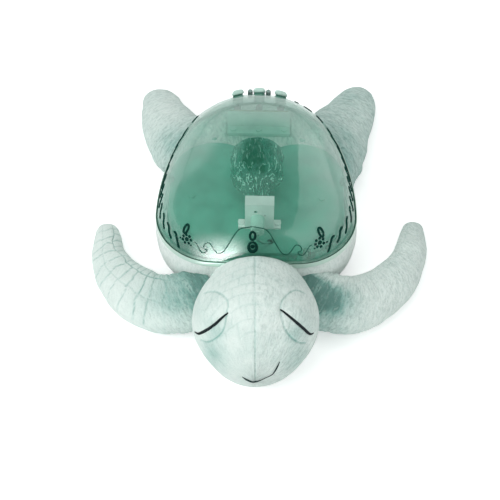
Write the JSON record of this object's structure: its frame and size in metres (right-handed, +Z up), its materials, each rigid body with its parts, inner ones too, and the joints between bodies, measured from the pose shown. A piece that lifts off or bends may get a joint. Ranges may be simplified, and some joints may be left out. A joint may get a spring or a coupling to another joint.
{
  "type": "turtle night light projector",
  "caption": "Plush turtle night light whose translucent domed shell throws rippling light from a motor-driven wave drum, with push buttons, speaker and battery bay.",
  "frame": {"origin": "on the flat belly face that the turtle rests on, below the middle of the shell", "axes": "+Z up, -Y towards the turtle's head, +X towards the turtle's own left side"},
  "size_m": [0.304, 0.352, 0.1147],
  "materials": {
    "pale_plush": "short curly pile",
    "lining_pile": "short pile",
    "dome_green": "clear tinted gloss",
    "ring_green": "satin",
    "tray_white": "fine matte",
    "deck_green": "gloss",
    "button_green": "satin",
    "lens_clear": "clear gloss",
    "drum_clear": "clear rippled gloss",
    "gear_white": "smooth",
    "case_white": "smooth",
    "steel": "plain zinc",
    "contact_metal": "bright plated",
    "board_green": "lacquered",
    "chip_black": "moulded",
    "cell_sleeve": null,
    "cone_black": "matte",
    "magnet_grey": "plated",
    "lamp_white": "clear",
    "lead_red_black": "smooth sleeve"
  },
  "bodies": {
    "turtle": {"plush_body": "pale_plush", "plush_head": "pale_plush", "front_flipper_left": "pale_plush", "front_flipper_right": "pale_plush", "rear_flipper_left": "pale_plush", "rear_flipper_right": "pale_plush", "plush_tail": "pale_plush", "shell_ring": "ring_green", "shell_dome": "dome_green", "dome_screws": "steel", "base_tray": "tray_white", "upper_deck": "deck_green", "plush_lining": "lining_pile", "deck_screws": "steel", "battery_cell_1": "cell_sleeve", "battery_cell_2": "cell_sleeve", "battery_cell_3": "cell_sleeve", "battery_contacts": "contact_metal", "hinge_pin": "steel", "speaker_frame": "steel", "speaker_cone": "cone_black", "speaker_magnet": "magnet_grey", "speaker_screws": "steel", "main_board": "board_green", "main_board_parts": "chip_black", "board_screws": "steel", "control_pod": "ring_green", "control_board": "board_green", "switch_bodies": "chip_black", "indicator_lens_left": "lens_clear", "indicator_lens_right": "lens_clear", "gearbox_case": "case_white", "gearbox_cover": "case_white", "idler_pin": "steel", "frame_screws": "steel", "motor_can": "steel", "drum_bracket": "case_white", "led_board": "board_green", "led_emitters": "lamp_white", "pod_screws": "steel", "motor_leads": "lead_red_black", "led_leads": "lead_red_black", "speaker_leads": "lead_red_black", "control_leads": "lead_red_black"},
    "button_right": {"button_right": "button_green", "button_right_plunger": "chip_black"},
    "button_centre": {"button_centre": "button_green", "button_centre_plunger": "chip_black"},
    "button_left": {"button_left": "button_green", "button_left_plunger": "chip_black"},
    "drum": {"wave_drum": "drum_clear", "drum_gear": "gear_white"},
    "idler": {"idler_gear": "gear_white"},
    "motor_rotor": {"motor_pinion": "gear_white"},
    "battery_lid": {"battery_door": "tray_white", "door_screw": "steel"}
  },
  "joints": [
    {"name": "button_right_press", "type": "slide", "parent": "turtle", "child": "button_right", "axis": [0, -0.7484, -0.6633], "range_m": [0, 0.001], "stiffness_N_per_m": 400, "springref_m": -0.0006},
    {"name": "button_centre_press", "type": "slide", "parent": "turtle", "child": "button_centre", "axis": [0, -0.7484, -0.6633], "range_m": [0, 0.001], "stiffness_N_per_m": 400, "springref_m": -0.0006},
    {"name": "button_left_press", "type": "slide", "parent": "turtle", "child": "button_left", "axis": [0, -0.7484, -0.6633], "range_m": [0, 0.001], "stiffness_N_per_m": 400, "springref_m": -0.0006},
    {"name": "drum_spin", "type": "hinge", "parent": "turtle", "child": "drum", "pos_m": [0, 0, 0.076], "axis": [0, 1, 0], "continuous": true},
    {"name": "idler_spin", "type": "hinge", "parent": "turtle", "child": "idler", "pos_m": [0.00792, 0, 0.07143], "axis": [0, 1, 0], "continuous": true},
    {"name": "motor_spin", "type": "hinge", "parent": "turtle", "child": "motor_rotor", "pos_m": [0.00166, 0, 0.06704], "axis": [0, 1, 0], "continuous": true},
    {"name": "battery_lid_hinge", "type": "hinge", "parent": "turtle", "child": "battery_lid", "pos_m": [0, 0.05386, 0.0038], "axis": [1, 0, 0], "range_deg": [0, 80]}
  ],
  "couplings": [
    {"joint": "idler_spin", "follows": "drum_spin", "ratio": -2.6},
    {"joint": "motor_spin", "follows": "drum_spin", "ratio": 5.2}
  ]
}
